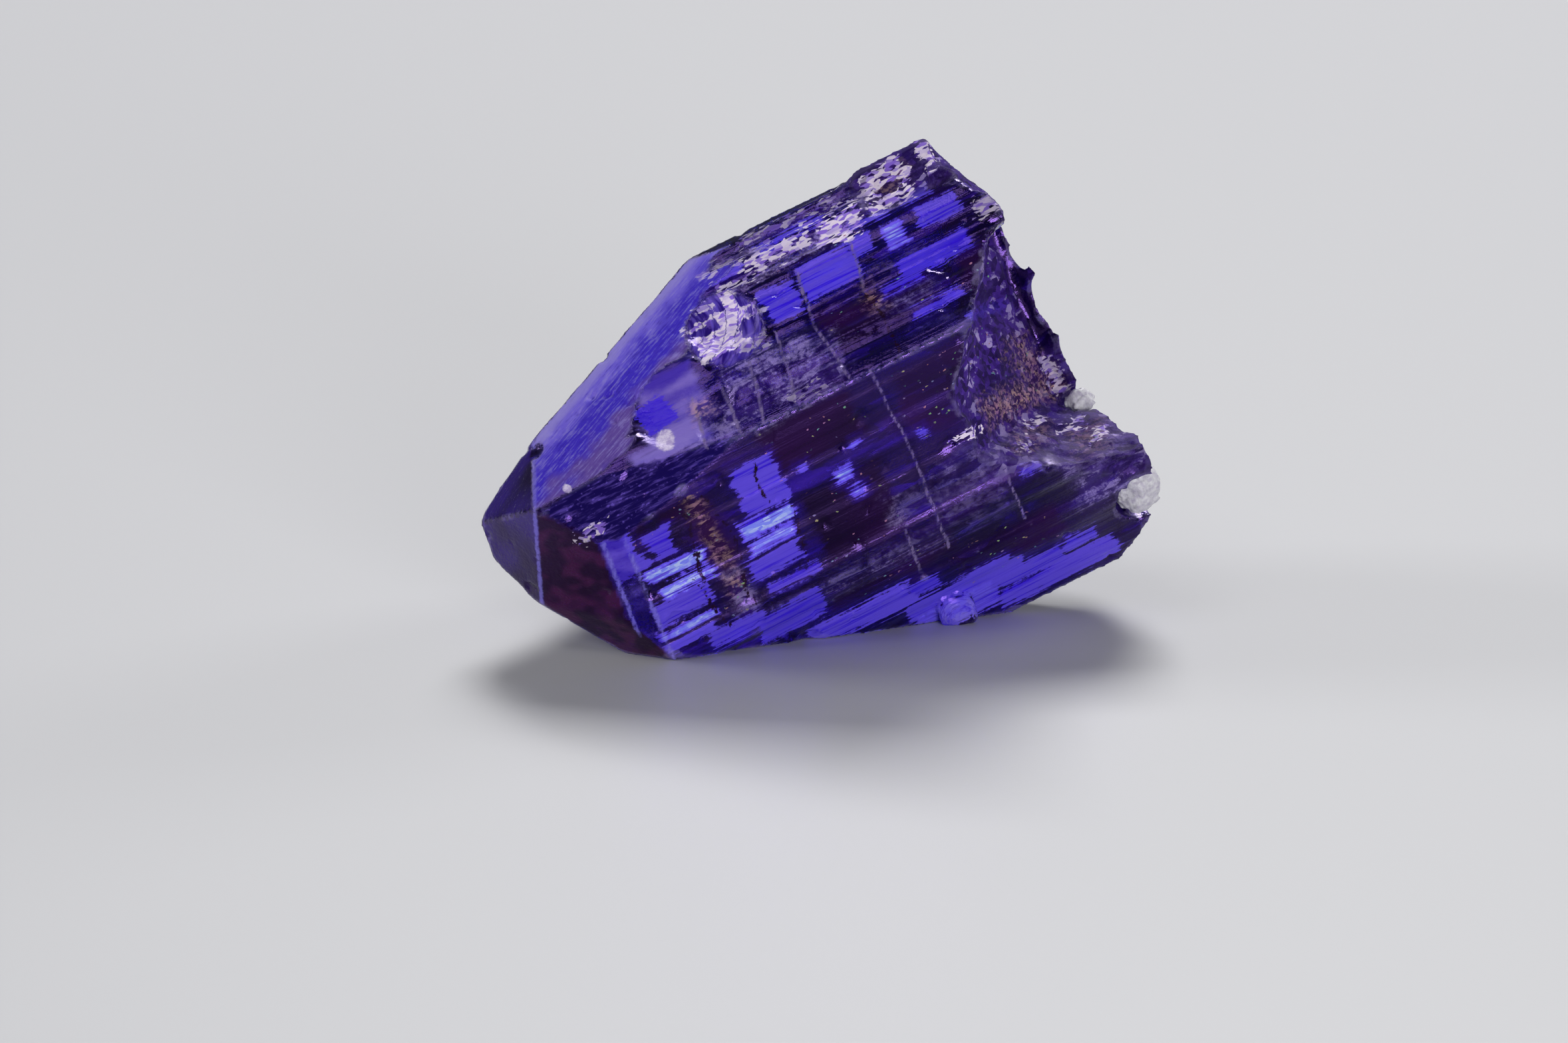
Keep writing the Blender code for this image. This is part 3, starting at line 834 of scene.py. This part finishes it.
class Graph:
    """Adds shader nodes. Its methods take numbers, colours or sockets, and most return a socket."""

    def __init__(self, name):
        self.material = bpy.data.materials.new(name)
        self.material.use_nodes = True
        self.tree = self.material.node_tree
        self.shader = self.tree.nodes["Principled BSDF"]
        self.output = self.tree.nodes["Material Output"]

    def put(self, socket, value):
        """Link a socket to another one, or set its value."""
        if isinstance(value, bpy.types.NodeSocket):
            self.tree.links.new(value, socket)
        elif isinstance(value, tuple) and len(value) == 3 and socket.type == "RGBA":
            socket.default_value = (*value, 1.0)
        else:
            socket.default_value = value

    def math(self, operation, *values):
        node = self.tree.nodes.new("ShaderNodeMath")
        node.operation = operation
        for socket, value in zip(node.inputs, values):
            self.put(socket, value)
        return node.outputs[0]

    def scale(self, value, factor):
        return self.math("MULTIPLY", value, factor)

    def sum(self, first, *others):
        for other in others:
            first = self.math("ADD", first, other)
        return first

    def inverse(self, value):
        """1 minus the value."""
        return self.math("SUBTRACT", 1.0, value)

    def step(self, value, low, high):
        """0 at low, 1 at high, eased between."""
        node = self.tree.nodes.new("ShaderNodeMapRange")
        node.interpolation_type = "SMOOTHSTEP"
        self.put(node.inputs["Value"], value)
        node.inputs["From Min"].default_value = low
        node.inputs["From Max"].default_value = high
        return node.outputs[0]

    def mix_value(self, factor, first, second):
        node = self.tree.nodes.new("ShaderNodeMix")
        self.put(node.inputs["Factor"], factor)
        self.put(node.inputs[2], first)
        self.put(node.inputs[3], second)
        return node.outputs[0]

    def mix(self, factor, first, second):
        """A colour between two others."""
        node = self.tree.nodes.new("ShaderNodeMix")
        node.data_type = "RGBA"
        self.put(node.inputs["Factor"], factor)
        self.put([s for s in node.inputs if s.name == "A" and s.type == "RGBA"][0], first)
        self.put([s for s in node.inputs if s.name == "B" and s.type == "RGBA"][0], second)
        return [s for s in node.outputs if s.type == "RGBA"][0]

    def attribute(self, name):
        """A number that the mesh stores for each vertex."""
        node = self.tree.nodes.new("ShaderNodeAttribute")
        node.attribute_name = name
        return node.outputs["Fac"]

    def vector(self, name, scale):
        """A vector that the mesh stores for each vertex, scaled along each axis."""
        node = self.tree.nodes.new("ShaderNodeAttribute")
        node.attribute_name = name
        product = self.tree.nodes.new("ShaderNodeVectorMath")
        product.operation = "MULTIPLY"
        self.put(product.inputs[0], node.outputs["Vector"])
        product.inputs[1].default_value = scale
        return product.outputs[0]

    def noise(self, vector, detail, roughness, warp=0.0):
        node = self.tree.nodes.new("ShaderNodeTexNoise")
        self.put(node.inputs["Vector"], vector)
        node.inputs["Scale"].default_value = 1.0
        node.inputs["Detail"].default_value = detail
        node.inputs["Roughness"].default_value = roughness
        node.inputs["Distortion"].default_value = warp
        return node.outputs[0]

    def cells(self, vector):
        """Three random numbers for each cell of a broken-up space."""
        node = self.tree.nodes.new("ShaderNodeTexVoronoi")
        self.put(node.inputs["Vector"], vector)
        node.inputs["Scale"].default_value = 1.0
        split = self.tree.nodes.new("ShaderNodeSeparateColor")
        self.put(split.inputs[0], node.outputs["Color"])
        return split.outputs

    def bump(self, height, strength, distance):
        node = self.tree.nodes.new("ShaderNodeBump")
        self.put(node.inputs["Height"], height)
        node.inputs["Strength"].default_value = strength
        node.inputs["Distance"].default_value = distance
        return node.outputs[0]


class CrystalGraph(Graph):
    """The crystal's patterns, and its colour and opacity, laid on in layers."""

    def __init__(self, name):
        super().__init__(name)
        self.lines = self.noise(self.vector("streak", (1.0, 1.0, 1.0)), 2.0, 0.6)
        self.grain = self.noise(self.vector("crystal", (3.6, 3.6, 3.6)), 3.0, 0.75)
        self.patches = self.cells(self.vector("crystal", (0.60, 2.0, 2.0)))
        self.flakes = self.cells(self.vector("crystal", (2.2, 3.6, 3.6)))
        self.flecks = self.cells(self.vector("crystal", (9.0, 14.0, 14.0)))
        self.splinters = self.cells(self.vector("crystal", (3.0, 7.5, 7.5)))
        self.bands = self.attribute("bands")
        self.clouds = self.attribute("clouds")
        self.mottle = self.attribute("mottle")
        self.ragged = self.sum(self.scale(self.lines, 0.9), self.scale(self.grain, 0.4))
        self.color = None
        self.opaque = None

    def lay(self, mask, color):
        """Lay a colour over what is there, as far as the mask says."""
        self.color = self.mix(mask, self.color, color)

    def cover(self, mask):
        """Make the stone at least as opaque as the mask."""
        self.opaque = self.math("MAXIMUM", self.opaque, mask)

    def zone(self, name, low, high):
        """1 in the named zones, fading over a ragged edge, times their strength."""
        inside = self.step(self.sum(self.attribute(name), self.ragged), low, high)
        return self.scale(inside, self.attribute(name + "_strength"))

    def line(self, name, shake, low, high):
        """1 on the named lines, fading out from low to high, with a grainy edge."""
        shaken = self.scale(self.math("SUBTRACT", self.grain, 0.5), shake)
        return self.inverse(self.step(self.sum(self.attribute(name), shaken), low, high))


def lay_body(g):
    """Violet-blue bands, purple clouds and pale growth lines."""
    tone = g.sum(g.scale(g.bands, 0.55), g.scale(g.patches[0], 0.35), g.scale(g.lines, 0.45))
    g.color = g.mix(g.step(tone, 0.68, 1.08), *BODY_TONES)
    g.lay(g.scale(g.step(g.clouds, 0.45, 0.8), 0.6), PURPLE_CLOUD)
    g.lay(g.scale(g.step(g.lines, 0.66, 0.76), 0.5), GROWTH_LINE)
    g.opaque = g.scale(g.step(tone, 0.5, 1.0), 0.35)


def lay_darks(g):
    """Painted shade: nearly black patches."""
    dark = g.zone("dark", 0.35, 1.0)
    g.lay(dark, g.mix(g.clouds, *DARK_TONES))
    g.cover(g.scale(dark, 0.95))
    return dark


def lay_veils(g):
    """Milky veils of pale wisps."""
    thin = g.step(g.sum(g.scale(g.grain, 0.7), g.scale(g.mottle, 0.6)), 0.30, 0.80)
    veil = g.scale(g.zone("veil", 0.15, 1.1), thin)
    wisps = g.sum(g.scale(g.grain, 0.7), g.scale(g.lines, 0.4), g.scale(g.patches[1], 0.25))
    g.lay(veil, g.mix(g.step(wisps, 0.58, 0.84), *VEIL_TONES))
    g.cover(g.scale(veil, 0.7))
    return veil


def lay_hollow(g):
    """The pale cloudy hollow beside the bevel."""
    hollow = g.step(g.sum(g.attribute("hollow"), g.scale(g.ragged, 0.6)), 0.1, 0.8)
    pale = g.sum(g.scale(g.clouds, 0.8), g.scale(g.bands, 0.5), g.scale(g.grain, 0.25))
    g.lay(hollow, g.mix(g.step(pale, 0.55, 1.05), *HOLLOW_TONES))
    g.cover(g.scale(hollow, 0.85))
    return hollow


def lay_windows(g):
    """Painted light: blue windows glowing through the crystal in a dim halo, with paler bars of painted
    highlight where they glow most.
    """
    inside = g.sum(g.attribute("window"), g.ragged)
    # Painted light: a dim blue halo round the windows
    g.lay(g.scale(g.step(inside, 0.1, 0.8), 0.45), WINDOW_HALO)
    window = g.step(inside, 0.50, 0.64)
    glow = g.scale(g.attribute("window_strength"), g.step(g.lines, 0.26, 0.55))
    bright = g.mix(g.step(glow, 0.05, 0.45), *WINDOW_TONES)
    # Painted highlight: paler bars where the windows glow most
    bars = g.step(g.scale(g.step(glow, 0.50, 0.95), g.step(inside, 0.55, 0.95)), 0.1, 1.0)
    bright = g.mix(bars, bright, g.mix(g.step(g.splinters[0], 0.2, 0.9), *WINDOW_BARS))
    g.lay(window, bright)
    opaque = g.sum(0.60, g.scale(g.step(glow, 0.4, 0.9), 0.28))
    g.opaque = g.mix_value(window, g.opaque, opaque)


def lay_chamfer(g):
    """The bright chamfer between the dark end face and the front."""
    chamfer = g.scale(g.attribute("chamfer"), 0.75)
    g.lay(chamfer, g.mix(g.step(g.bands, 0.3, 0.7), *CHAMFER_TONES))


def lay_bevel(g):
    """The frosted bevel: violet, paler blue towards its outer rim, partly frost and partly painted rim
    light, with pale scratches, dark furrows and a painted highlight along its outer edge.
    """
    bevel = g.attribute("bevel")
    rim = g.sum(g.attribute("bevel_rim"), g.scale(g.mottle, 0.35), g.scale(g.lines, 0.25))
    frosted = g.mix(g.step(rim, 0.30, 0.62), BEVEL_INNER, BEVEL_MIDDLE)
    # Partly frost, partly painted rim light: paler blue towards the outer rim
    frosted = g.mix(g.step(rim, 0.85, 1.35), frosted, BEVEL_OUTER)
    scratches = g.sum(g.scale(g.lines, 0.8), g.scale(g.grain, 0.35))
    frosted = g.mix(g.scale(g.step(scratches, 0.56, 0.72), 0.40), frosted, BEVEL_SCRATCH)
    frosted = g.mix(g.scale(g.step(scratches, 0.52, 0.40), 0.45), frosted, BEVEL_FURROW)
    # Painted highlight along the bevel's outer edge
    frosted = g.mix(g.scale(g.step(g.attribute("bevel_rim"), 0.93, 1.0), 0.6), frosted, BEVEL_EDGE)
    g.lay(bevel, frosted)
    g.cover(g.scale(bevel, 0.65))
    return bevel


def lay_end_faces(g):
    """The brownish dark end face, the cloudy nose and the glittering dark sliver."""
    brown_end = g.attribute("brown_end")
    g.lay(brown_end, g.mix(g.step(g.bands, 0.35, 0.7), *END_TONES))
    g.cover(g.scale(brown_end, 0.75))
    nose = g.attribute("nose")
    g.lay(g.scale(nose, 0.9), g.mix(g.step(g.clouds, 0.35, 0.8), *NOSE_TONES))
    g.cover(g.scale(nose, 0.75))
    sliver = g.attribute("sliver")
    glitter = g.scale(g.step(g.flecks[0], 0.86, 0.92), g.step(g.sum(g.grain, g.lines), 0.90, 1.15))
    glitter = g.sum(g.scale(glitter, 0.4), g.scale(g.step(g.lines, 0.45, 0.8), 0.5))
    g.lay(sliver, g.mix(glitter, *SLIVER_TONES))
    g.cover(g.scale(sliver, 0.8))


def lay_lines(g):
    """Pale cross fractures, dark veins and painted highlights along edges of the left end."""
    crack = g.scale(g.line("crack", 0.16, 0.03, 0.12), g.sum(0.55, g.scale(g.mottle, 0.6)))
    g.lay(crack, CRACK_TONE)
    g.cover(g.scale(crack, 0.7))
    vein = g.line("vein", 0.5, 0.03, 0.10)
    g.lay(vein, VEIN_TONE)
    g.cover(g.scale(vein, 0.9))
    # Painted highlight along edges of the left end
    glint = g.line("glint", 0.25, 0.04, 0.17)
    g.lay(g.scale(glint, 0.7), GLINT_TONE)
    g.cover(g.scale(glint, 0.7))


def lay_rubble(g):
    """Dark shards on the broken surfaces, with a few pale ones that are partly painted glints."""
    broken = g.attribute("broken")
    shards = g.sum(g.scale(g.flakes[0], 0.55), g.scale(g.grain, 0.5), g.scale(g.mottle, 0.3))
    cloudy = g.math("SUBTRACT", g.math("MINIMUM", g.clouds, g.bands), 0.4)
    shards = g.sum(shards, g.scale(cloudy, 0.5))
    rubble = g.mix(g.step(shards, 0.45, 0.85), *RUBBLE_TONES)
    # Pale shards, partly painted glints on the broken surface
    rubble = g.mix(g.step(shards, 0.88, 0.98), rubble, PALE_SHARD_GLINT)
    g.lay(g.scale(broken, 0.8), rubble)
    g.cover(g.scale(broken, 0.55))
    return broken


def lay_browns(g):
    """Dark brown stains with golden crumbs, partly stain and partly painted golden glints."""
    brown = g.scale(g.zone("brown", 0.30, 1.3), 0.8)
    crumbs = g.step(g.sum(g.scale(g.grain, 0.7), g.scale(g.splinters[1], 0.3)), 0.44, 0.64)
    # Golden crumbs: partly stain, partly painted golden glints
    g.lay(brown, g.mix(crumbs, BROWN_STAIN, g.mix(g.flakes[2], *GOLDEN_TONES)))
    g.cover(g.scale(brown, 0.7))
    return brown


def lay_shell(g):
    """The striped floor of the shell-shaped fracture."""
    shell = g.attribute("shell")
    g.lay(g.scale(shell, 0.85), g.mix(g.step(g.lines, 0.38, 0.62), *SHELL_TONES))
    g.cover(g.scale(shell, 0.6))
    return shell


def lay_whites(g, shell):
    """White patches, splintered with gaps, or in the shell whole and cut by ripples."""
    torn = g.sum(g.attribute("white"), g.scale(g.flakes[0], 0.35), g.scale(g.splinters[0], 0.30))
    torn = g.sum(torn, g.scale(g.lines, 0.4), g.scale(g.mottle, 0.35))
    whole = g.sum(g.attribute("white"), g.scale(g.lines, 0.5), g.scale(g.flakes[0], 0.12))
    white = g.mix_value(shell, g.step(torn, 0.62, 0.70), g.step(whole, 0.26, 0.32))
    white = g.scale(white, g.attribute("white_strength"))
    arcs = g.sum(g.scale(g.attribute("ripple"), 11.0), g.scale(g.clouds, 12.0), g.scale(g.grain, 4.0))
    arcs = g.scale(g.step(g.math("SINE", arcs), 0.93, 0.99), g.scale(shell, 0.8))
    gaps = g.scale(g.step(g.splinters[2], 0.24, 0.20), g.inverse(shell))
    white = g.scale(white, g.inverse(g.math("MAXIMUM", arcs, gaps)))
    g.lay(white, g.mix(g.step(g.splinters[1], 0.10, 0.75), *WHITE_TONES))
    g.cover(g.scale(white, 0.85))
    return white


def lay_blobs(g):
    """Round milky inclusions."""
    blob = g.step(g.sum(g.attribute("blob"), g.scale(g.grain, 0.5)), 0.25, 0.55)
    g.lay(blob, g.mix(g.step(g.grain, 0.35, 0.65), *BLOB_TONES))
    g.cover(g.scale(blob, 0.9))


def lay_sparks(g, dark, brown):
    """Tiny rainbow specks in some of the dark and the brown places."""
    spark = g.scale(g.step(g.flecks[0], 0.975, 0.99), g.step(g.sum(dark, brown), 0.2, 0.5))
    spark = g.scale(spark, g.step(g.sum(g.grain, g.mottle), 1.02, 1.12))
    rainbow = g.tree.nodes.new("ShaderNodeCombineColor")
    rainbow.mode = "HSV"
    g.put(rainbow.inputs[0], g.flecks[1])
    rainbow.inputs[1].default_value = SPARK_SATURATION
    rainbow.inputs[2].default_value = SPARK_BRIGHTNESS
    g.lay(spark, rainbow.outputs[0])
    g.cover(spark)


def lay_edge_highlights(g, broken):
    """Painted highlight: a faint pale line along sharp convex edges."""
    # Painted highlight on sharp convex edges
    edge_sharpness = g.scale(g.step(g.attribute("edge_sharpness"), 0.55, 1.2), g.step(g.sum(g.grain, g.bands), 0.75, 1.1))
    edge_sharpness = g.scale(edge_sharpness, g.inverse(g.scale(broken, 0.7)))
    g.lay(g.scale(edge_sharpness, 0.26), EDGE_HIGHLIGHT)
    g.cover(g.scale(edge_sharpness, 0.5))


def crystal_material():
    """Clear violet-blue zoisite with windows of painted light, dark patches of painted shade, veils, frost,
    white broken edges and painted edge highlights.
    """
    g = CrystalGraph("violet_crystal")
    lay_body(g)
    dark = lay_darks(g)
    veil = lay_veils(g)
    hollow = lay_hollow(g)
    lay_windows(g)
    lay_chamfer(g)
    bevel = lay_bevel(g)
    lay_end_faces(g)
    lay_lines(g)
    broken = lay_rubble(g)
    brown = lay_browns(g)
    shell = lay_shell(g)
    white = lay_whites(g, shell)
    lay_blobs(g)
    lay_sparks(g, dark, brown)
    lay_edge_highlights(g, broken)

    rough = g.scale(bevel, 0.40)
    for mask, roughness in ((broken, 0.85), (hollow, 0.30), (veil, 0.25), (white, 0.40)):
        rough = g.math("MAXIMUM", rough, g.scale(mask, roughness))
    shader = g.shader
    g.put(shader.inputs["Base Color"], g.color)
    g.put(shader.inputs["Roughness"], g.sum(rough, g.scale(g.grain, 0.12)))
    g.put(shader.inputs["Transmission Weight"], g.inverse(g.opaque))
    shader.inputs["IOR"].default_value = CRYSTAL_IOR
    shader.inputs["Specular IOR Level"].default_value = CRYSTAL_SPECULAR
    shader.inputs["Specular Tint"].default_value = CRYSTAL_TINT
    scratches = g.sum(g.scale(g.lines, 0.6), g.scale(g.grain, 0.5))
    g.put(shader.inputs["Normal"], g.bump(scratches, 0.6, CRYSTAL_BUMP))
    absorption = g.tree.nodes.new("ShaderNodeVolumeAbsorption")
    absorption.inputs["Color"].default_value = ABSORPTION_COLOR
    absorption.inputs["Density"].default_value = ABSORPTION_DENSITY
    g.put(g.output.inputs["Volume"], absorption.outputs[0])
    return g.material


def matrix_material():
    """White crumbly matrix: sugary grains with faint lilac and grey stains."""
    g = Graph("white_matrix")
    coordinates = g.tree.nodes.new("ShaderNodeTexCoord").outputs["Object"]
    fine = g.tree.nodes.new("ShaderNodeVectorMath")
    fine.operation = "SCALE"
    g.put(fine.inputs[0], coordinates)
    fine.inputs["Scale"].default_value = MATRIX_FINENESS
    grain = g.noise(fine.outputs[0], 3.0, 0.7)
    stain = g.noise(fine.outputs[0], 0.0, 0.5, 1.5)
    color = g.mix(g.step(grain, 0.3, 0.7), *MATRIX_TONES)
    color = g.mix(g.scale(g.step(stain, 0.5, 0.75), 0.4), color, MATRIX_STAIN)
    g.put(g.shader.inputs["Base Color"], color)
    g.put(g.shader.inputs["Roughness"], g.sum(g.scale(grain, 0.3), 0.35))
    g.shader.inputs["Transmission Weight"].default_value = MATRIX_TRANSMISSION
    g.shader.inputs["IOR"].default_value = MATRIX_IOR
    g.put(g.shader.inputs["Normal"], g.bump(grain, 0.7, MATRIX_BUMP))
    return g.material


def finish_lump(node, material):
    """A knobbly white lump of small grown-together grains in place of a CAD lump."""
    piece = fine_copy(node, node.name + "_grains", LUMP_VOXEL)
    mesh = piece.data
    places, normals = mesh_arrays(mesh)
    grain_height, size, seed = LUMP_GRAINS
    height = grain_height * broken_facets(places, size, seed)
    height += LUMP_ROUGHNESS * noise_field(places, LUMP_STRETCH)
    move_vertices(mesh, places + normals * height[:, None], node.name)
    mesh.materials.append(material)
    return piece


def add_floor():
    """Plain pale floor."""
    mesh = bpy.data.meshes.new("floor")
    half = FLOOR_HALF
    corners = [(-half, -half, 0.0), (half, -half, 0.0), (half, half, 0.0), (-half, half, 0.0)]
    mesh.from_pydata(corners, [], [(0, 1, 2, 3)])
    floor = bpy.data.objects.new("floor", mesh)
    bpy.context.scene.collection.objects.link(floor)
    g = Graph("pale_floor")
    coordinates = g.tree.nodes.new("ShaderNodeTexCoord").outputs["Object"]
    cloudy = g.noise(coordinates, 3.0, 0.5)
    g.put(g.shader.inputs["Base Color"], g.mix(cloudy, *FLOOR_TONES))
    g.shader.inputs["Roughness"].default_value = FLOOR_ROUGHNESS
    mesh.materials.append(g.material)


def add_softbox(name, place, side, power):
    """A square white softbox that faces the stone."""
    data = bpy.data.lights.new(name, "AREA")
    data.size = side
    data.energy = power
    light = bpy.data.objects.new(name, data)
    light.location = place
    light.rotation_euler = (LIT_PLACE - Vector(place)).to_track_quat("-Z", "Y").to_euler()
    bpy.context.scene.collection.objects.link(light)


def light_scene():
    """Softboxes behind, on both sides, above and low in front, in a dim studio."""
    world = bpy.data.worlds.new("studio")
    world.use_nodes = True
    background = world.node_tree.nodes["Background"]
    background.inputs[0].default_value = WORLD_COLOR
    background.inputs[1].default_value = WORLD_STRENGTH
    bpy.context.scene.world = world
    for softbox in SOFTBOXES:
        add_softbox(*softbox)


def add_camera():
    """The photograph's viewing angle through a long lens."""
    data = bpy.data.cameras.new("camera")
    data.sensor_width = SENSOR_WIDTH
    data.lens = SENSOR_WIDTH * CAMERA_DISTANCE / PICTURE_WIDTH
    data.clip_start, data.clip_end = CLIP
    camera = bpy.data.objects.new("camera", data)
    back = Vector(TO_VIEWER)
    camera.location = AIM + back * CAMERA_DISTANCE
    camera.rotation_euler = (-back).to_track_quat("-Z", "Y").to_euler()
    bpy.context.scene.collection.objects.link(camera)
    bpy.context.scene.camera = camera


def main():
    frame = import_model()
    nodes = frame["nodes"]
    crystal = finish_crystal(nodes["crystal"])
    crystal.data.materials.append(crystal_material())
    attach(crystal, "root")
    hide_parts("crystal")
    white = matrix_material()
    for name in ("matrix_knob", "matrix_fleck"):
        grains = finish_lump(nodes[name], white)
        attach(grains, "root")
        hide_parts(name)
    add_floor()
    light_scene()
    add_camera()
    bpy.context.scene.view_settings.view_transform = "Standard"


main()
